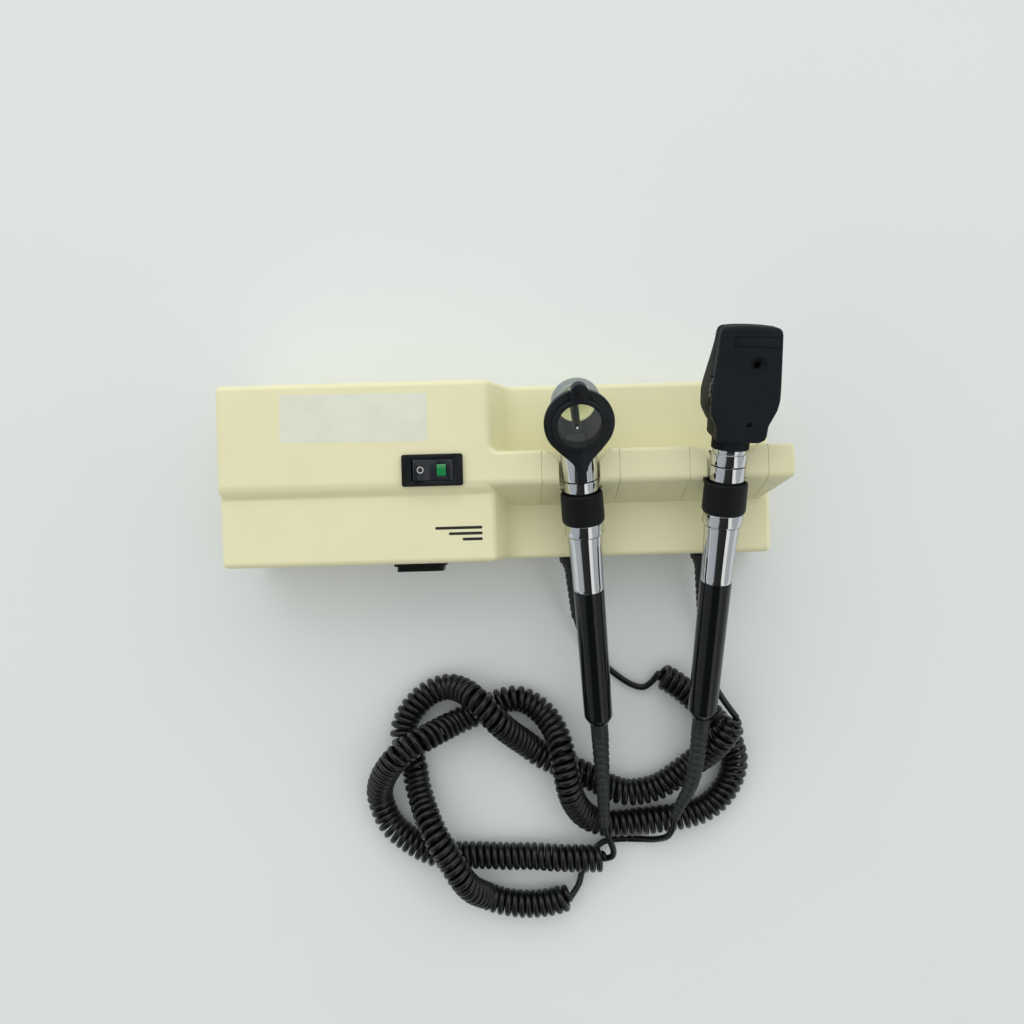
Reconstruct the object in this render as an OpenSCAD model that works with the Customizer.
// Wall-mount diagnostic set: transformer housing, two cradles, and an otoscope and an
// ophthalmoscope on coiled cords. Millimetres. The origin is the centre of the rear (wall) face,
// +X is right seen from the front, +Y points up towards the heads, +Z out of the wall.

/* [Wall unit] */
// Height of the housing along Y
unit_h = 106.5; // [100:0.5:112]
// Left edge of the transformer box
box_x0 = -170.5; // [-176:0.5:-165]
// Right edge of the transformer box at its front face
box_x1 = -10.7; // [-14:0.1:-8]
// Right edge of the cradle panel
panel_x1 = 162; // [160:0.5:166]
// Depth of the housing at its upper front face
unit_d = 84; // [80:0.5:88]
// How far the lower front face is set back
step_d = 5; // [3:0.5:6]
// Depth of the cradle panel
panel_d = 50; // [46:0.5:54]
// Wall thickness of the mouldings
wall = 3; // [2.4:0.1:3.4]

/* [Cradle bar] */
// Upper edge of the bar's front face
bar_y1 = 11.25; // [10:0.25:12]
// Lower edge of the bar's front face
bar_y0 = -8.15; // [-9:0.05:-7]
// Lower edge of the bar where it meets the panel
bar_foot = -21.2; // [-23:0.1:-19]
// Right end of the bar
bar_x1 = 169.3; // [168:0.1:171]
// Width of one cradle module
cradle_w = 46; // [42:0.5:48]

/* [Instruments] */
// Tilt of both instruments out of the wall plane, degrees
tilt = 18; // [16:0.5:20]
// Lean of the otoscope in the wall plane, degrees
oto_lean = 4.3; // [3:0.1:5]
// Lean of the ophthalmoscope in the wall plane, degrees
opht_lean = -3; // [-4:0.1:-2]
// Radius of the chrome neck
neck_r = 10.2; // [9.8:0.1:10.4]
// Radius of the rheostat ring
ring_r = 12.75; // [12.4:0.05:13]
// Length of the grip sleeve
grip_l = 93.5; // [88:0.5:96]

/* [Cords] */
// Radius of the coiled part
coil_r = 8.9; // [8:0.1:9]
// Radius of the straight lead
lead_r = 2.1; // [1.8:0.1:2.2]

/* [Hidden] */
$fn = 64;

cream = [0.90, 0.86, 0.70];
black = [0.07, 0.07, 0.08];
chrome = [0.85, 0.86, 0.88];
brass = [0.80, 0.65, 0.30];
glass = [0.9, 0.95, 1, 0.35];
lamp_white = [1, 1, 0.9];

half_h = unit_h / 2;

// Where each instrument's axis crosses the bar, and that point's height above its ring's top
oto_seat = [41.5, 1.5, 84];
oto_seat_h = 16.3;
opht_seat = [127.4, 1.5, 90];
opht_seat_h = 12.4;
// Length of each neck above the ring's top
oto_neck_h = 8.0;
opht_neck_h = 10.1;
// Centre of each cradle module
oto_cradle_x = oto_seat[0] + 0.8;
opht_cradle_x = opht_seat[0] + 2;

// ---------- helpers ----------
function arc(cx, cy, r, a0, a1, n) =
  [for (i = [0:n]) let (a = a0 + (a1 - a0) * i / n) [cx + r * cos(a), cy + r * sin(a)]];

module slab(x0, x1, y0, y1, z0, z1)
  translate([x0, y0, z0]) cube([x1 - x0, y1 - y0, z1 - z0]);

// Cuboid centred on the Z axis
module block(w, d, z0, z1) translate([-w / 2, -d / 2, z0]) cube([w, d, z1 - z0]);

// Cylinder on the Z axis
module post(r, z0, z1) translate([0, 0, z0]) cylinder(r = r, h = z1 - z0);

// Cylinder running from the origin towards -Y
module rod_y(r, h) rotate([90, 0, 0]) cylinder(r = r, h = h);

// Revolved outline of [radius, z]
module spin(points) rotate_extrude() polygon(points);

// Plates with an outline of [y, z] or of [x, z]
module yz_plate(x0, x1, points)
  translate([x0, 0, 0]) rotate([90, 0, 90]) linear_extrude(x1 - x0) polygon(points);
module xz_plate(y0, y1, points)
  translate([0, y1, 0]) rotate([90, 0, 0]) linear_extrude(y1 - y0) polygon(points);

// 2D rounded rectangle, centred
module round_rect(w, h, r) {
  square([w - 2 * r, h], center = true);
  square([w, h - 2 * r], center = true);
  for (x = [-1, 1], y = [-1, 1]) translate([x * (w / 2 - r), y * (h / 2 - r)]) circle(r);
}

module at_grid(xs, ys) for (x = xs, y = ys) translate([x, y, 0]) children();

// Puts +Z of the children along start to end
module along(start, end) {
  v = end - start;
  translate(start) rotate([0, acos(v[2] / norm(v)), atan2(v[1], v[0])]) children();
}

function xyz(p) = [p[0], p[1], p[2]];

// Catmull-Rom curve through the path's points, n steps to a span
function spline(a, b, c, d, t) = 0.5 * ((2 * b) + (c - a) * t
  + (2 * a - 5 * b + 4 * c - d) * t * t + (3 * b - a - 3 * c + d) * t * t * t);
function smooth_path(path, n) = let (last = len(path) - 1) concat(
  [for (i = [0:last - 1], k = [0:n - 1])
    spline(path[max(i - 1, 0)], path[i], path[i + 1], path[min(i + 2, last)], k / n)],
  [path[last]]);

// Sweep of circles along stations of [x, y, z, radius]
module sweep(stations, sides) {
  last = len(stations) - 1;
  points = [for (i = [0:last]) let (
      v = xyz(stations[min(i + 1, last)]) - xyz(stations[max(i - 1, 0)]),
      tangent = v / norm(v),
      level = cross(tangent, [0, 0, 1]),
      u = level / norm(level),
      w = cross(u, tangent))
    for (k = [0:sides - 1]) let (a = 360 * k / sides)
      xyz(stations[i]) + stations[i][3] * (u * cos(a) + w * sin(a))];
  start_cap = [for (k = [0:sides - 1]) k];
  end_cap = [for (k = [sides - 1:-1:0]) last * sides + k];
  skin = [for (i = [0:last - 1], k = [0:sides - 1])
    let (a = i * sides, b = a + sides, next = (k + 1) % sides)
    each [[a + k, b + k, b + next], [a + k, b + next, a + next]]];
  polyhedron(points = points, faces = concat([start_cap], [end_cap], skin));
}

// ---------- frames ----------
// Handle frame: +Z towards the head, -Y away from the wall, z = 0 at the ring's top
module in_handle(seat, seat_h, lean)
  translate(seat) rotate([tilt - 90, 0, lean]) translate([0, 0, -seat_h]) children();
module in_oto() in_handle(oto_seat, oto_seat_h, oto_lean) children();
module in_opht() in_handle(opht_seat, opht_seat_h, opht_lean) children();

// The same placement for a point on the handle's axis
function turn_x(p, a) =
  [p[0], p[1] * cos(a) - p[2] * sin(a), p[1] * sin(a) + p[2] * cos(a)];
function turn_z(p, a) =
  [p[0] * cos(a) - p[1] * sin(a), p[0] * sin(a) + p[1] * cos(a), p[2]];
function axis_point(seat, seat_h, lean, z) =
  seat + turn_z(turn_x([0, 0, z - seat_h], tilt - 90), lean);

// ---------- housing ----------
corner_r = 3.5;
// How far the box's right wall spreads from its front edge to the wall plane
wall_spread = 12 * unit_d / (unit_d - panel_d);
pillar_xs = [-158, 152];
pillar_ys = [-43, 43];
screw_hole_r = 1.75;
switch_at = [-44.6, 1, unit_d];
inlet_at = [-57, -half_h - 0.42, 40];
joint_gap = 0.1;

// Cord bushes: where each leaves the bottom wall, and its tip
oto_bush = [38.5, -half_h - 0.65, 25];
oto_bush_tip = [42.5, -97, 9];
opht_bush = [124.5, -half_h - 0.65, 25];
opht_bush_tip = [127, -97, 9];

// Bar section as [y, z], inset by e: flat front, rounded front edges, sloping underside
function bar_section(e) = concat(
  [[bar_y1 - e, panel_d - 1]],
  arc(bar_y1 - e - 2.5, unit_d - e - 2.5, 2.5, 0, 90, 5),
  arc(bar_y0 + e + 3.2, unit_d - e - 3.2, 3.2, 90, 158, 5),
  [[bar_foot + e, panel_d - 1]]);
module bar(x0, x1, e = 0) yz_plate(x0, x1, bar_section(e));

// Length of bar trimmed to stand on the panel
module bar_piece(x0, x1) difference() {
  bar(x0, x1);
  slab(x0 - 5, x1 + 5, -60, 60, panel_d - 3, panel_d + 0.02);
}

// Box with rounded front corners; xs and ys are its front edges, back_xs its edges at the wall
module rounded_box(xs, back_xs, ys, depth) {
  r = corner_r;
  hull() {
    for (x = [xs[0] + r, xs[1] - r], y = [ys[0] + r, ys[1] - r])
      translate([x, y, depth - r]) sphere(r, $fn = 24);
    for (x = [back_xs[0] + r, back_xs[1] - r], y = [ys[0] + r - 0.6, ys[1] - r + 0.6])
      translate([x, y, 0]) cylinder(r = r, h = 0.5, $fn = 24);
  }
}

module housing_solid() {
  box_xs = [box_x0, box_x1];
  back_xs = [box_x0 - 0.6, box_x1 + wall_spread];
  rounded_box(box_xs, back_xs, [bar_y0 - 9, half_h], unit_d);
  rounded_box(box_xs, back_xs, [-half_h, bar_y0 + 6], unit_d - step_d);
  rounded_box([-20, panel_x1], [-20, panel_x1 + 0.6], [-half_h, half_h], panel_d);
}

// Slopes the upper block's lower edge back to the lower face
module step_cut() yz_plate(box_x0 - 5, box_x1 + 55, [
  [bar_y0, unit_d + 1], [bar_y0 - step_d - 0.35, unit_d - step_d],
  [bar_y0 - 30, unit_d - step_d], [bar_y0 - 30, unit_d + 1]]);

// Fillet between the box's right wall and the panel
module cove() xz_plate(-half_h + 3.6, half_h - 3.6,
  concat([[-2.5, 48.01], [-3.3, 56.75]], arc(8.4, 60.2, 10.2, 198, 270, 8), [[8.4, 48]]));

// Tapered hollow of the box between y0 and y1, below a front face at the given depth
module box_hollow(y0, y1, depth) hull() {
  slab(box_x0 + wall, box_x1 - wall, y0, y1, depth - wall - 1, depth - wall);
  slab(box_x0 + wall, box_x1 + wall_spread - wall, y0, y1, -1, 0);
}

module front_housing() color(cream) difference() {
  union() {
    difference() {
      housing_solid();
      step_cut();
    }
    bar(box_x1 - 3, oto_cradle_x - cradle_w / 2 - joint_gap);
    cove();
  }
  difference() { // inner hollows, leaving a screw pillar in each corner
    union() {
      box_hollow(bar_y0 + 2, half_h - wall, unit_d);
      box_hollow(-half_h + wall, bar_y0 + 3, unit_d - step_d);
      slab(-18, panel_x1 - wall, -half_h + wall, half_h - wall, -1, panel_d - wall);
    }
    at_grid(pillar_xs, pillar_ys) post(4.5, 8.5, 88.5);
  }
  at_grid(pillar_xs, pillar_ys) post(screw_hole_r, 0, 20);
  bar(8, oto_seat[0] + 1 - cradle_w / 2, 3);
  // openings behind the cradles for the switches and wiring
  for (x = [oto_cradle_x, opht_cradle_x]) slab(x - 8, x + 8, -10, 6, panel_d - 10, panel_d + 5);
  // switch cut-out
  translate(switch_at) block(32.6, 15.6, -10, 10);
  // inlet cut-out
  translate([inlet_at[0], -half_h, inlet_at[2]]) rotate([90, 0, 0]) block(27.4, 20.4, -7, 5);
  // cord bush holes
  for (b = [oto_bush, opht_bush]) translate([b[0], -half_h + 6, b[2]]) rod_y(5.2, 12);
  // vent slots along the top wall
  for (i = [0:8]) slab(-150 + i * 12, -144 + i * 12, half_h - 5, half_h + 5, 26, 28.5);
}

module rear_chassis() color("silver") difference() {
  edge = wall + 0.4;
  union() {
    slab(box_x0 + edge, panel_x1 - edge, -half_h + edge, half_h - edge, 0, 2.5);
    at_grid(pillar_xs, pillar_ys) post(4, 2.4, 8.4);
  }
  at_grid([-70, 90], [-38, 38]) post(2.6, -1, 4);
  at_grid(pillar_xs, pillar_ys) post(screw_hole_r, -1, 19);
}

module cover_screws() color("silver") at_grid(pillar_xs, pillar_ys) post(1.7, 0.4, 12.4);

module label_plate() color([0.86, 0.88, 0.80])
  translate([-90.2, 33, unit_d]) linear_extrude(0.35) round_rect(87, 28.7, 1.2);

// ---------- cradles and bar ----------
// Slot across the handle's axis, round at the back and open towards -Y
module u_slot(r, z0, z1)
  translate([0, 0, z0]) linear_extrude(z1 - z0)
    polygon(concat(arc(0, 0, r, 0, 180, 24), [[-r, -45], [r, -45]]));

// Notch along the tilted axis, with a ledge under the head's socket and room for the ring
module cradle(mid_x, seat, seat_h, neck_h, lean) color(cream) difference() {
  half_w = cradle_w / 2;
  bar_piece(mid_x - half_w + 0.15, mid_x + half_w - 0.15);
  // flare towards the front
  translate([seat[0], 0, seat[2]]) xz_plate(-40, 40,
    [[-10.5, -9], [-12.4, 1.5], [-12.4, 20], [12.4, 20], [12.4, 1.5], [10.5, -9]]);
  translate(seat) rotate([tilt - 90, 0, lean]) {
    u_slot(13.5, -70, 1.5 - seat_h);
    u_slot(10.5, -70, 50);
    u_slot(11.5, neck_h - seat_h - 0.12, 50);
    translate([0, 0, 1]) cylinder(r1 = 11, r2 = 24, h = 13);
  }
  // pocket for the lift switch and its lever
  slab(seat[0] - 6.2, seat[0] + 6.2, -9, 9.2, panel_d - 2, seat[2] - 15.2);
  slab(seat[0] - 3, seat[0] + 3, 0, 9.2, seat[2] - 16, seat[2] - 6);
  // side hollows
  slab(mid_x - half_w + 2, mid_x - 17.3, -10, 8, panel_d - 2, 70);
  slab(mid_x + 17.3, mid_x + half_w - 2, -10, 8, panel_d - 2, 70);
}

module bar_spacer() color(cream) difference() {
  x0 = oto_cradle_x + cradle_w / 2 + joint_gap;
  x1 = opht_cradle_x - cradle_w / 2 - joint_gap;
  bar_piece(x0, x1);
  translate([0, 0, -1]) bar(x0 + 2.5, x1 - 2.5, 3);
}

module bar_end_cap() color(cream) difference() {
  x0 = opht_cradle_x + cradle_w / 2 + joint_gap;
  edge_r = 2.5;
  bar_piece(x0, bar_x1);
  // end face leans back to the panel edge, with a rounded front edge
  xz_plate(-60, 60, concat(
    arc(bar_x1 - edge_r, unit_d - edge_r, edge_r, 90, 12, 5),
    [[panel_x1 - 5, panel_d - 1], [200, panel_d - 1], [200, 120], [bar_x1 - edge_r, 120]]));
  translate([0, 0, -1]) bar(x0 + 2.5, panel_x1 - 7.5, 3);
}

// Hinge of the lift lever, from the bar's front at the seat
lever_hinge = [0, -6, -21.6];
module rod_x(r, h) rotate([0, 90, 0]) cylinder(r = r, h = h, center = true);

module cradle_switches() color(black) for (seat = [oto_seat, opht_seat])
  translate([seat[0], 0, seat[2]]) difference() {
    slab(-5.5, 5.5, -8.5, 3, -32, -21.6);
    translate(lever_hinge) rod_x(1.9, 30);
    slab(-3.1, 3.1, -12, 6, -23.4, -18);
  }

// Lift lever: hinged at its lower end, nose in the floor of the cradle notch
module cradle_lever(seat) color([0.85, 0.85, 0.82]) translate([seat[0], 0, seat[2]]) {
  translate(lever_hinge) rod_x(1.6, 5.6);
  yz_plate(-2.5, 2.5, [
    [-6, -22.6], [7.2, -20.8], [8.1, -20], [8.1, -10.9], [7.3, -9.95], [6.2, -9.95],
    [5.4, -10.9], [5.2, -18], [4.4, -19.2], [-6, -20.4]]);
}

// ---------- switch and inlet ----------
rocker_drop = 1.5; // rocker axle below the housing's front face
lamp_x = 4.85;

module switch_housing() color(black) translate(switch_at) {
  translate([0, 6.5, -rocker_drop]) rod_y(1.2, 13);
  difference() {
    union() {
      linear_extrude(1.8) round_rect(35.7, 18.7, 1.2);
      translate([0, 0, 0.9]) linear_extrude(1.7) round_rect(33.5, 16.5, 1);
      block(32, 15, -22, 0.01);
    }
    block(24.2, 12.6, -8, 12);
    block(29, 12, -20.5, -9.5);
  }
}

// Rocker frame: origin on its axle, tipped to one side
module in_rocker() translate(switch_at - [0, 0, rocker_drop]) rotate([0, 7, 0]) children();

module switch_rocker() color(black) in_rocker() difference() {
  intersection() {
    block(23.4, 12.3, -3, 6);
    translate([0, 10, 23.6]) difference() { // dished front
      rod_y(40, 20);
      rod_y(19.5, 20);
    }
    translate([0, 10, 0]) rod_y(12.0, 20);
  }
  translate([lamp_x, 0, 0]) block(5.6, 7.1, 2, 22);
  translate([0, 10, 0]) rod_y(1.25, 20);
}

module switch_lamp() color([0.1, 0.6, 0.25])
  in_rocker() translate([lamp_x, 0, 0]) block(5.4, 6.9, 2.05, 5.3);

module switch_terminals() color(brass)
  for (x = [-9, 0, 9]) translate(switch_at + [x, 0, 0]) block(0.8, 6.3, -33, -22.01);

// Inlet frame: +Z out of the bottom wall, towards -Y
module in_inlet() translate(inlet_at) rotate([90, 0, 0]) children();

module power_inlet() color(black) in_inlet() difference() {
  union() {
    linear_extrude(3.4) round_rect(32.5, 25, 2.5);
    translate([0, 0, 3.39]) linear_extrude(3.3) round_rect(29, 21.5, 2.5);
    block(27, 20, -20, 0.01);
  }
  translate([0, 0, -14]) linear_extrude(30)
    polygon([[-12, -8], [12, -8], [12, 3.5], [7.5, 8], [-7.5, 8], [-12, 3.5]]);
}

module inlet_pins() color(brass) in_inlet()
  for (p = [[-7, -2], [0, 2], [7, -2]]) translate(p) block(2, 4, -13.99, 2.51);

// ---------- transformer and circuit board ----------
transformer_at = [-118, 2, 2.5]; // on the chassis plate

module transformer_core() color([0.35, 0.36, 0.38]) translate(transformer_at) difference() {
  union() {
    block(66, 56, 4, 30);
    block(84, 56, 0, 4.01);
  }
  at_grid([-16.5, 16.5], [0]) block(11, 34, 3.9, 43.9);
  at_grid([-37.5, 37.5], [0]) post(2.2, -1, 9);
}

module transformer_bobbin() color([0.85, 0.83, 0.75]) translate(transformer_at) difference() {
  union() {
    block(41.6, 33.6, 4.2, 5.4);
    block(25.2, 33.6, 4.2, 43.2);
    block(41.6, 33.6, 42, 43.4);
  }
  block(22.1, 80, 4, 30.2);
  block(22, 30.6, 20, 41);
}

module transformer_winding() color([0.72, 0.4, 0.2]) translate(transformer_at)
  at_grid([-16.65, 16.65], [0]) block(7.9, 32, 5.5, 41.9);

standoff_xs = [-51, -12];
standoff_ys = [-40, -18];
board_top = 9.6;

module circuit_board() color([0.1, 0.4, 0.22]) difference() {
  slab(-55, -8, -44, -14, 8, board_top);
  at_grid(standoff_xs, standoff_ys) post(1.6, 5, 15);
}

module board_parts() {
  color([0.15, 0.15, 0.3]) at_grid([-48, -36], [-33]) post(5, board_top, board_top + 16);
  color("silver") slab(-28, -14, -40, -36, board_top, 30);
  color(black) slab(-28, -14, -30, -20, board_top, 14);
  color("white") at_grid(standoff_xs, standoff_ys) difference() {
    post(3, 2.5, 7.99);
    post(1, 3.5, 11.5);
  }
}

// ---------- cords ----------
// Flanged bush in the bottom wall with a ribbed, tapering sleeve out to its tip
module bush(base, tip) {
  sleeve_l = norm(tip - base);
  translate(base) rotate([90, 0, 0]) {
    post(6.4, 0, 4);
    post(7.2, 3.9, 7.7);
    post(5, -7, 0.01);
  }
  difference() {
    along(base, tip) {
      translate([0, 0, 0.5]) cylinder(r1 = 4.6, r2 = 3.1, h = sleeve_l - 0.5);
      for (i = [0:6]) translate([0, 0, 8 + i * 4.6]) cylinder(r = 4.75 - i * 0.19, h = 1.8);
    }
    translate(base + [-20, 0, -20]) cube(40);
  }
}
module cord_bushes() color(black) {
  bush(oto_bush, oto_bush_tip);
  bush(opht_bush, opht_bush_tip);
}

// Where each lead enters its handle's boot
oto_boot_tip = [56.4, -233, 23.4];
opht_boot_tip = [102.3, -228.5, 24];

// Centre lines as [x, y, z]: lead from the wall unit, coiled part, lead into the boot
oto_lead_in = [
  oto_bush_tip - [0, 0.6, 0], [46, -108, 5.5], [54, -121, 3.4], [63.3, -132.2, 3],
  [76, -142.4, 3], [86, -146.4, 3.2], [92, -143, 5.6]];
oto_coil = [
  [100.6, -138.4, 9.6], [107.5, -143, 9.6], [114.5, -148.6, 9.6], [122.5, -156, 9.6],
  [132, -165.6, 9.6], [141.7, -178.7, 9.6], [146.3, -193.6, 9.6], [143.5, -207.5, 9.6],
  [136, -219, 9.6], [126, -227, 9.6], [113.4, -231.5, 9.6], [98.5, -233.5, 9.6],
  [83.6, -235, 9.6], [69, -236, 9.6], [56, -235.2, 9.6], [45.5, -229.6, 12.5],
  [38.3, -219.5, 20], [33.9, -207.5, 27], [31.8, -195.3, 29], [29.5, -182, 27.4],
  [26.2, -171, 20], [19.5, -161.2, 13], [9.8, -153.6, 9.8], [-0.2, -150.2, 9.6],
  [-11.7, -152.4, 9.6], [-25, -158.4, 9.6], [-40.3, -164.6, 12], [-52.5, -168.5, 21],
  [-62.5, -172.3, 27.6], [-70.7, -176.6, 29], [-79.2, -183.7, 28.6], [-88, -196.4, 21.5],
  [-92.6, -210.6, 11.5], [-89.6, -224.1, 9.6], [-84, -234, 9.6], [-74.9, -242, 9.6],
  [-64.2, -249, 9.6], [-53.5, -253.6, 9.6], [-40.1, -254.6, 9.6], [-26, -254.9, 9.6],
  [-10, -256, 9.6], [8, -256.2, 10.4], [25, -256.6, 13.4], [38, -256.9, 14.4],
  [53, -257.4, 14.4]];
oto_lead_out = [
  [61.4, -255, 17.5], [62, -250, 20.4], [59.8, -243, 22.6],
  oto_boot_tip + [0.7, -3.4, -0.2], oto_boot_tip - [0, 0.6, 0]];
opht_lead_in = [
  opht_bush_tip - [0, 0.6, 0], [128.6, -110, 5.4], [129.5, -124, 8], [130.6, -138, 17],
  [134.6, -149, 26]];
opht_coil = [
  [140.6, -165.6, 30.5], [137, -171.6, 29.4], [133, -177.6, 27.2], [126, -187.9, 18.5],
  [116.9, -197, 11], [105.9, -205.3, 9.6], [95.6, -211.4, 9.6], [84.1, -214.6, 9.6],
  [72, -215, 9.6], [58.7, -210, 9.6], [44.8, -202.2, 9.6], [32.2, -196.5, 9.3],
  [17.5, -189.4, 9.4], [6.4, -180.3, 11.4], [-4.2, -170, 21], [-12.4, -160.8, 28],
  [-19.2, -153, 29.2], [-25.8, -146.6, 26.8], [-33.5, -142.6, 18.5], [-44.2, -140.8, 11],
  [-56.5, -144.2, 9.6], [-66.4, -152, 9.6], [-73, -161, 9.3], [-76.2, -171, 9.2],
  [-73.6, -181.5, 9.2], [-69.4, -192.6, 9.4], [-67.6, -204, 9.8], [-63.8, -216, 15],
  [-58.4, -227, 23.5], [-52.5, -237.5, 28.6], [-45.9, -248.3, 29.4], [-38.9, -260.8, 29],
  [-32.2, -272, 22], [-23.4, -281.7, 10.5], [-10.7, -286.6, 9.6], [6, -288.6, 9.6],
  [20.5, -287.6, 9.6], [30, -285, 9.6]];
opht_lead_out = [
  [39.6, -278.2, 5], [42, -271.5, 2.8], [45.5, -264, 2.5], [50.5, -256.5, 2.5],
  [58, -250.8, 2.5], [69, -249.4, 2.5], [81.5, -249.4, 3.6], [91, -247.6, 9.5],
  [98, -243, 17.6], [101, -236, 22.8],
  opht_boot_tip + [-0.4, -3.2, -0.3], opht_boot_tip - [0, 0.6, 0]];

// Point a gap beyond the end of a line that comes from its neighbour
function beyond(end, neighbour, gap) =
  end + (end - neighbour) / norm(end - neighbour) * gap;
function smooth_tube(path, r) = [for (p = smooth_path(path, 2)) [p[0], p[1], p[2], r]];

// Each lead meets the coil on the coil's own axis
module cord(lead_in, coil, lead_out) color(black) {
  m = len(coil) - 1;
  coil_start = [for (gap = [4.5, 0.3]) beyond(coil[0], coil[1], gap)];
  coil_end = [for (gap = [0.3, 4.5]) beyond(coil[m], coil[m - 1], gap)];
  sweep(concat(
    smooth_tube(concat(lead_in, coil_start), lead_r),
    smooth_tube(coil, coil_r),
    smooth_tube(concat(coil_end, lead_out), lead_r)), 12);
}
module oto_cord() cord(oto_lead_in, oto_coil, oto_lead_out);
module opht_cord() cord(opht_lead_in, opht_coil, opht_lead_out);

// ---------- handles, in the handle frame ----------
pin_angles = [90, 210, 330];
barrel_end = -62.6;
grip_end = barrel_end - grip_l;

module neck(neck_h) color(chrome) difference() {
  union() {
    spin([
      [0, -29.5], [8.8, -29.5], [8.8, 0.1], [9.8, 0.1], [neck_r, 0.5],
      [neck_r, neck_h - 0.35], [neck_r - 0.35, neck_h], [7.6, neck_h],
      [7.6, neck_h + 8.5], [7.1, neck_h + 9], [0, neck_h + 9]]);
    for (a = pin_angles)
      rotate([0, 0, a]) translate([0, 0, neck_h + 6.6]) rotate([0, 90, 0])
        cylinder(r = 1.1, h = 9);
  }
  post(5, -40, 40);
}

module rheostat_ring() color([0.09, 0.09, 0.1]) spin(concat(
  [[8.88, -18.5], [8.88, -0.1]],
  arc(ring_r - 1.3, -1.4, 1.3, 90, 0, 5),
  [[ring_r - 0.1, -9], [ring_r - 0.3, -17.2]],
  arc(ring_r - 1.5, -17.3, 1.2, 0, -90, 5)));

module rheostat_track() color([0.9, 0.9, 0.88])
  spin([[8.9, -25.4], [10.5, -25.4], [10.5, -19.4], [8.9, -19.4]]);

module barrel() color(chrome) spin(concat(
  [[8.3, -62.5], [8.3, -31], [8.85, -31], [8.85, -25.6], [10.6, -25.6], [10.6, -18.7],
   [11.2, -18.7], [11.7, -19.2], [11.7, -25.4], [11.3, -25.9], [10.2, -26.1],
   [10.2, -26.5], [10.5, -26.7]],
  [for (i = [0:8]) let (t = i / 8) [10.4 - 0.95 * (1 - pow(1 - t, 2.2)), -27.2 - 35 * t]],
  [[9.4, -62.5], [7.8, -62.5], [7.8, -71.5], [7.2, -71.5], [7.2, -62.4]]));

module grip() color(black) spin([
  [7.86, -72], [7.86, barrel_end], [9.3, barrel_end], [9.5, -63], [9.45, -80],
  [9.15, grip_end + 5.2], [9.0, grip_end + 4.7], [6.7, grip_end + 0.2], [6.4, grip_end],
  [3.4, grip_end], [3.4, grip_end + 6], [7.1, grip_end + 6], [7.1, -72]]);

module contact_block(neck_h) {
  color(brass) spin([
    [0, -6], [1.5, -6], [1.5, neck_h + 10.2], [1.1, neck_h + 10.8], [0, neck_h + 10.8]]);
  color([0.9, 0.9, 0.85]) spin([
    [1.4, neck_h - 4], [4.95, neck_h - 4], [4.95, neck_h + 4], [1.4, neck_h + 4]]);
}

// Flexible boot from the grip's end to the lead; bulge offsets its middle
module boot(seat, seat_h, lean, tip, bulge) color(black) {
  // distance below the grip's end, radius
  on_axis = [for (s = [[0.05, 5.75], [5, 5.7], [14, 5.5]])
    [each axis_point(seat, seat_h, lean, grip_end - s[0]), s[1]]];
  middle = (xyz(on_axis[2]) + tip) / 2 + bulge;
  v = middle - tip;
  near_tip = tip + [v[0] * 0.3, v[1] * 0.3, v[2] * 0.22];
  sweep(smooth_path(
    concat(on_axis, [[each middle, 4.5], [each near_tip, 3.5], [each tip, 3]]), 4), 16);
}

// Bore of a head's socket, slotted and grooved for the neck's pins; tops are above the neck
module socket_bore(neck_h, bore_top, groove_r, groove_top, inner_top) {
  post(8, 0, neck_h + bore_top);
  for (a = pin_angles)
    rotate([0, 0, a]) translate([0, -1.3, 0]) cube([groove_r, 2.6, neck_h + groove_top]);
  post(groove_r, neck_h + 5.2, neck_h + groove_top);
  post(5.2, 0, inner_top); // this top is above z = 0
}

// ---------- otoscope head ----------
// Sight frame: origin at the lens ring's centre, tilted so that +Y runs along the sight line
module in_sight() translate([0.3, -17.5, 44.7]) rotate([9, 0, 0]) children();
// Lens frame: the lens plane is XY and +Z faces away from the speculum
module in_lens() in_sight() rotate([90, 0, 0]) children();

lens_pivot = [0.8, 19.2];
lens_glass_r = 12.35;
lens_dome_r = 45;
speculum_at = [1.4, 30, 2.3]; // speculum seat in the sight frame

// Right side of the lens plate's tail as [x, y], top to bottom
tail_right = [
  [14.5, -13.5], [12.1, -16.3], [9.6, -19.0], [7.2, -21.5],
  [5.3, -23.7], [4.1, -25.8], [3.4, -27.8], [3.05, -29.4]];
teardrop = concat(
  arc(0, 0, 19.85, -38, 218, 36),
  [for (p = tail_right) [-p[0], p[1]]],
  [for (i = [7:-1:0]) tail_right[i]]);

module oto_socket() color(chrome) difference() {
  spin(concat(
    [[0, oto_neck_h + 0.15], [10.3, oto_neck_h + 0.15], [10.65, oto_neck_h + 0.5], [10.65, 22]],
    [for (i = [0:8]) let (a = 90 * i / 8) [6.2 + 4.45 * cos(a), 22.5 + 5.5 * sin(a)]],
    [[0, 28]]));
  socket_bore(oto_neck_h, 9.4, 9.3, 9.4, 25.5);
}

module oto_lens_frame() color(black) difference() {
  union() {
    in_lens() translate([0, 0, -3]) difference() {
      union() {
        linear_extrude(3) polygon(teardrop);
        translate(lens_pivot) cylinder(r = 4.7, h = 3);
        post(17.5, -1.8, 1.2);
      }
      post(12.75, -5, 5);
      translate(lens_pivot) post(1.55, -10, 10);
    }
    // stem down the front of the socket
    yz_plate(-2.8, 2.8, [
      [-10.5, oto_neck_h + 0.6], [-12.8, oto_neck_h + 0.6], [-13.3, oto_neck_h + 1.4],
      [-13.5, 18], [-14.05, 22.1], [-15, 26], [-12, 26.5], [-10.5, 23]]);
  }
  post(10.75, -5, 29);
}

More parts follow.
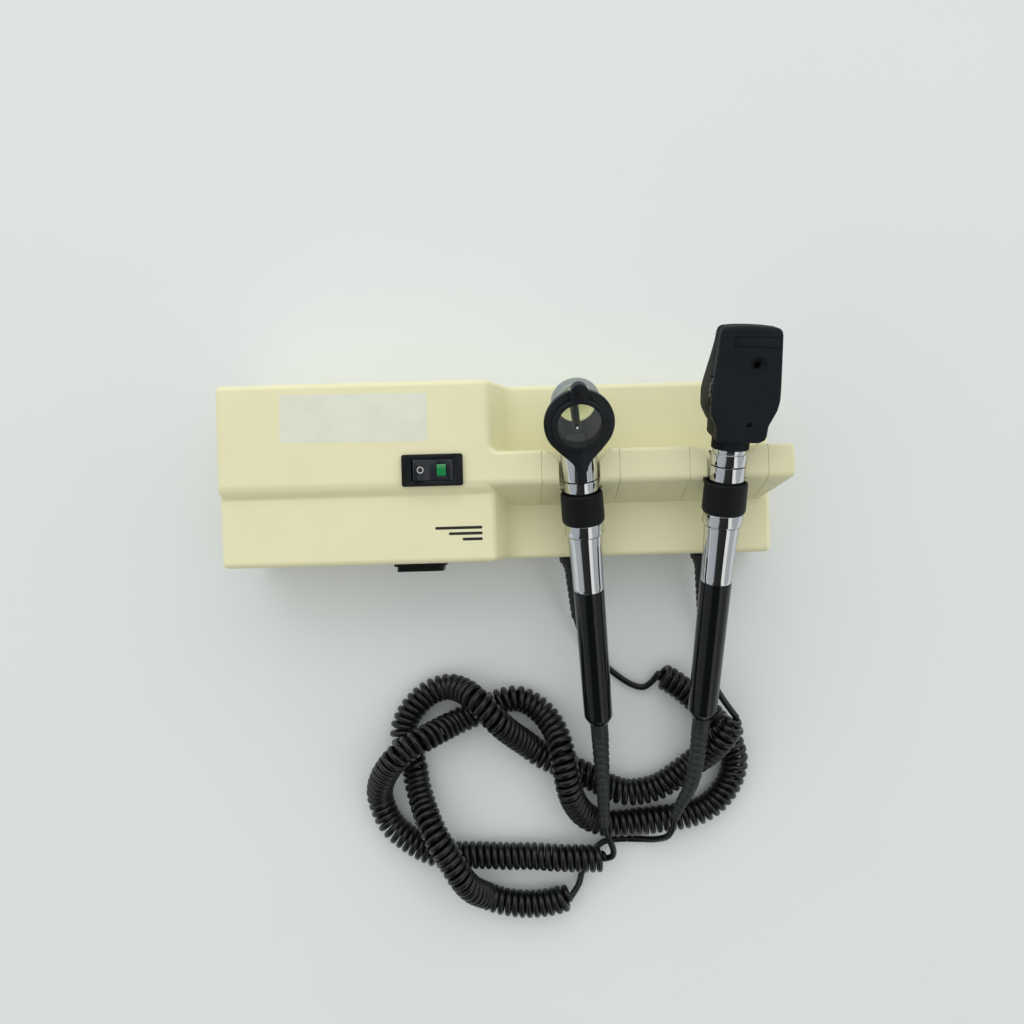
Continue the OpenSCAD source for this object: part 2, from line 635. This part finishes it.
module oto_lens_cell() color([0.08, 0.08, 0.09]) in_lens() difference() {
  union() {
    spin([[12.4, 0.15], [15.3, 0.15], [15.3, 2.2], [14.6, 3], [13.4, 3.2], [12.4, 2.9]]);
    translate([0, 0, 0.15]) linear_extrude(3.3) difference() { // ear round the pivot
      union() {
        translate(lens_pivot) circle(4.9);
        translate([lens_pivot[0] - 5, 13.6]) square([10, 5.6]);
      }
      circle(13.1);
    }
  }
  translate(lens_pivot) post(1.55, -1, 9);
}

function dome_z(x) = sqrt(lens_dome_r * lens_dome_r - x * x);
module oto_lens() color(glass) in_lens() spin(concat(
  [[0, 0.3], [lens_glass_r, 0.3]],
  [for (i = [0:6]) let (x = lens_glass_r * (1 - i / 6))
    [x, 1 + (dome_z(x) - dome_z(lens_glass_r))]]));

module oto_lens_pivot() color("silver") in_lens() translate(lens_pivot) {
  post(1.5, -3, 4.1);
  translate([0, 0, 3.5]) spin([[0, 0], [2.8, 0], [2.6, 0.7], [0, 1.1]]);
}

// Light pipe from the frame's top, back and down across the sight line: [x, y, z, radius]
light_arm = [
  [-1.3, 5, 15.4, 2.1], [-1.3, 8, 15.4, 2.2], [-1.3, 12, 14.2, 2.4], [-1.1, 14.9, 10, 2.5],
  [-0.8, 16.3, 4, 2.5], [-0.4, 17, -2.5, 2.4], [0, 17.3, -8.4, 2.3]];
module oto_light_arm() color([0.2, 0.2, 0.21]) in_sight() sweep(smooth_path(light_arm, 4), 20);

module oto_carrier() color([0.3, 0.3, 0.31]) difference() {
  union() {
    // lower part of the ring round the speculum
    in_sight() translate(speculum_at - [0, 2.6, 0]) rotate([-90, 0, 0]) difference() {
      union() {
        cylinder(r = 13.8, h = 2.4);
        translate([-speculum_at[0], 13.4, 0]) cylinder(r = 14.3, h = 2.4);
      }
      slab(-30, 30, -40, 5, -1, 7);
      post(11.6, -1, 4);
    }
    // bracket from the socket's back up to the ring
    yz_plate(-5.5, 5.5, [
      [10.4, 21.2], [12.8, 21.4], [14.4, 25], [15.0, 30], [13.8, 32.5], [11.6, 32.5],
      [10.4, 27]]);
  }
  cylinder(r = 10.72, h = 26);
}

module oto_speculum() color([0.72, 0.75, 0.76])
  in_sight() translate(speculum_at) rotate([-90, 0, 0]) spin([
    [10.4, -2.3], [11.5, -2.3], [11.5, 0.1], [14.6, 0.1], [14.6, 1.4], [11.6, 1.7], [9, 6.5],
    [6, 13], [3.5, 22], [3.0, 22.3], [2.8, 22], [5.2, 13], [8.2, 6.2], [10.0, 1.6]]);

module oto_lamp() {
  base = oto_neck_h + 11.2;
  color(brass) spin([
    [0, base], [4.6, base], [4.6, base + 1.8], [3.8, base + 2], [3.8, 23.6], [0, 23.6]]);
  color(lamp_white) post(1.9, 23.5, 24.3);
}

// ---------- ophthalmoscope head ----------
// Outlines of the head and of its foot as [x, z]
head_outline = [
  [12.6, 34.6], [16.7, 35.7], [20.6, 44.5], [21.6, 50.5], [21.2, 58], [19.8, 76],
  [19.0, 85.6], [18.3, 88.2], [16.4, 89.5], [9, 90.2], [1.8, 90.5], [-6, 90.3],
  [-12.4, 89.6], [-14.1, 88.4], [-14.8, 86], [-15.2, 76], [-16.2, 60], [-16.5, 52],
  [-15.9, 41.5], [-12.5, 34.6]];
foot_outline = [
  [-12.1, 36], [-12, 27.6], [-10.7, 26], [12.4, 26], [15.6, 27.9], [16.4, 30], [16.7, 36]];
function inset(outline, centre, e) =
  [for (p = outline) let (v = p - centre) centre + v * (1 - e / norm(v))];
function head_inset(e) = inset(head_outline, [2.4, 64], e);
function foot_inset(e) = inset(foot_outline, [2.2, 38], e);

split_y = -9; // plane between the two shells, and mid-plane of the lens disc
user_y = split_y - 0.02;
patient_y = split_y + 0.02;
disc_axis = [2.4, 0, 54.5];
disc_r = 19.4;
lens_pitch_r = 15.6;
sight_axis = [6.9, 0, 69.4];
dial_axis = [0, 0, 42];

// Side profiles of the patient shell and of its hollow as [y, z]
patient_side = [
  [patient_y, 25.8], [8.5, 25.8], [10, 27], [10.6, 33], [14.4, 39.5], [16, 44.5],
  [16, 49.5], [14.8, 54.5], [4, 72], [-1.6, 82.5], [-2.6, 90.6], [patient_y, 90.6]];
hollow_side = [
  [split_y - 1, 30], [7, 30], [8, 36], [12, 42], [13.5, 45], [13.5, 49], [12.3, 53],
  [1, 71], [-4.4, 82], [-5.2, 88], [split_y - 1, 88]];

// Round outline with two points high and two low in turn
function fluted(r, depth, steps) =
  [for (i = [0:steps - 1]) let (a = i * 360 / steps, s = (i % 4 < 2) ? r : r - depth)
    [s * cos(a), s * sin(a)]];

module opht_socket() color(chrome) difference() {
  spin([
    [0, opht_neck_h + 0.15], [10.1, opht_neck_h + 0.15], [10.45, opht_neck_h + 0.5],
    [10.45, 16.9], [10.1, 17.3], [9.3, 17.4], [9.3, 18], [9.8, 18.2], [9.8, 20], [0, 20]]);
  socket_bore(opht_neck_h, 9.2, 9.2, 8.6, 30);
}

module disc_recess()
  translate(disc_axis + [0, split_y + 2.7, 0]) rod_y(disc_r + 0.8, 5.4);

// Shell facing away from the wall
module opht_user_shell() color([0.1, 0.1, 0.11]) difference() {
  union() {
    hull() {
      xz_plate(-15.2, -15.1, head_inset(2.6));
      xz_plate(-14.6, -14.5, head_inset(1.0));
      xz_plate(-13.6, user_y, head_inset(0));
    }
    hull() {
      xz_plate(-14.2, -14.1, foot_inset(1.6));
      xz_plate(-12.8, user_y, foot_inset(0));
    }
    intersection() { // collar
      post(10.8, 20.1, 27.1);
      slab(-20, 20, -20, user_y, 0, 60);
    }
  }
  xz_plate(-12.9, split_y + 1, head_inset(2.2));
  disc_recess();
  translate(sight_axis) rod_y(4.7, 30);
  // brow rest recess
  xz_plate(-18, -14, [[-7.1, 78.9], [30, 78.9], [30, 84.8], [-7.1, 84.8]]);
  translate([5.2, 0, 36.8]) rod_y(1.5, 30);
  translate(disc_axis) rod_y(1.55, 13.6);
}

// Shell facing the wall
module opht_patient_shell() color([0.1, 0.1, 0.11]) difference() {
  union() {
    intersection() {
      union() {
        xz_plate(patient_y, 20, head_outline);
        xz_plate(patient_y, 20, foot_outline);
      }
      yz_plate(-40, 40, patient_side);
    }
    difference() { // collar
      post(10.8, 20.1, 27.1);
      slab(-20, 20, -20, patient_y, 0, 60);
    }
  }
  intersection() {
    xz_plate(split_y - 1, 20, head_inset(2.6));
    yz_plate(-40, 40, hollow_side);
  }
  disc_recess();
  post(6.5, 10, 40);
  translate(sight_axis + [0, 30, 0]) rod_y(3.4, 30);
  translate(dial_axis + [0, 30, 0]) rod_y(1.55, 30);
}

module opht_brow_rest() color([0.13, 0.13, 0.14])
  xz_plate(-14.7, -14, [[-6.9, 79.1], [17.6, 79.1], [17.4, 84.6], [-6.9, 84.6]]);

module opht_eyepiece() color([0.05, 0.05, 0.06])
  translate(sight_axis) rotate([90, 0, 0]) spin([
    [2.1, 11.9], [4.65, 11.9], [4.65, 14.9], [4.2, 15.4], [3.7, 14.9], [2.3, 13.2],
    [2.1, 13]]);

// Disc frame: origin at the disc's centre, +Z away from the wall
module in_disc() translate(disc_axis + [0, split_y, 0]) rotate([90, 0, 0]) children();
module at_disc_lenses() for (i = [0:15])
  rotate([0, 0, i * 22.5 + 73.2]) translate([lens_pitch_r, 0, 0]) children();

module opht_lens_disc() color([0.14, 0.13, 0.13]) in_disc() difference() {
  linear_extrude(4.8, center = true) polygon(fluted(disc_r, 0.4, 144));
  at_disc_lenses() post(2.02, -5, 5);
  post(1.95, -5, 5);
}
module opht_lenses() color(glass) in_disc() at_disc_lenses() post(2, -0.7, 0.7);

module opht_disc_axle() color("silver") translate(disc_axis) rotate([90, 0, 0]) {
  post(1.9, 5.9, 11.5);
  post(1.5, 11.4, 13.3);
}

module opht_aperture_dial() color([0.12, 0.12, 0.13]) translate(dial_axis) difference() {
  union() {
    xz_plate(16.4, 19.4, fluted(9.6, 0.5, 96));
    translate([0, 17, 0]) rod_y(1.5, 8);
    translate([0, 9.8, 0]) rod_y(3, 1.2);
  }
  // six holes of growing size
  for (i = [0:5]) translate([0, 25, 0]) rotate([90, 60 * i, 0]) translate([0, 6.2, 0])
    cylinder(r = 0.8 + 0.15 * i, h = 7);
}

module opht_prism() color([0.92, 0.96, 1, 0.5])
  translate(sight_axis) yz_plate(-3, 3, [[-5.8, -9.2], [0.2, -9.2], [0.2, -3.2]]);

module opht_lamp() {
  color(brass) spin([[0, 22], [4.6, 22], [4.6, 24], [3.9, 24.2], [3.9, 33], [0, 33]]);
  color(lamp_white) translate([0, 0, 33])
    spin([[0, -0.05], [2.2, -0.05], [2.2, 3], [1.3, 4.4], [0, 4.8]]);
}

// ---------- assembly ----------
module cradle_a() cradle(oto_cradle_x, oto_seat, oto_seat_h, oto_neck_h, oto_lean);
module cradle_b() cradle(opht_cradle_x, opht_seat, opht_seat_h, opht_neck_h, opht_lean);
module oto_boot() boot(oto_seat, oto_seat_h, oto_lean, oto_boot_tip, [0, 0, 1.5]);
module opht_boot() boot(opht_seat, opht_seat_h, opht_lean, opht_boot_tip, [3.5, 0, 2.5]);

rear_chassis();
front_housing();
cradle_a();
cradle_b();
bar_spacer();
bar_end_cap();
label_plate();
switch_housing();
switch_rocker();
switch_lamp();
switch_terminals();
power_inlet();
inlet_pins();
transformer_core();
transformer_bobbin();
transformer_winding();
circuit_board();
board_parts();
cover_screws();
cradle_switches();
cradle_lever(oto_seat);  // cradle_lever_a
cradle_lever(opht_seat);  // cradle_lever_b
cord_bushes();
oto_cord();
opht_cord();
in_oto() neck(oto_neck_h);  // oto_neck
in_oto() rheostat_ring();  // oto_rheostat_ring
in_oto() barrel();  // oto_barrel
in_oto() grip();  // oto_grip
oto_boot();
in_oto() contact_block(oto_neck_h);  // oto_contact_block
in_oto() rheostat_track();  // oto_rheostat_track
in_opht() neck(opht_neck_h);  // opht_neck
in_opht() rheostat_ring();  // opht_rheostat_ring
in_opht() barrel();  // opht_barrel
in_opht() grip();  // opht_grip
opht_boot();
in_opht() contact_block(opht_neck_h);  // opht_contact_block
in_opht() rheostat_track();  // opht_rheostat_track
in_oto() oto_socket();
in_oto() oto_lens_frame();
in_oto() oto_lens_cell();
in_oto() oto_lens();
in_oto() oto_lens_pivot();
in_oto() oto_light_arm();
in_oto() oto_carrier();
in_oto() oto_speculum();
in_oto() oto_lamp();
in_opht() opht_socket();
in_opht() opht_user_shell();
in_opht() opht_patient_shell();
in_opht() opht_brow_rest();
in_opht() opht_eyepiece();
in_opht() opht_lens_disc();
in_opht() opht_lenses();
in_opht() opht_disc_axle();
in_opht() opht_aperture_dial();
in_opht() opht_prism();
in_opht() opht_lamp();
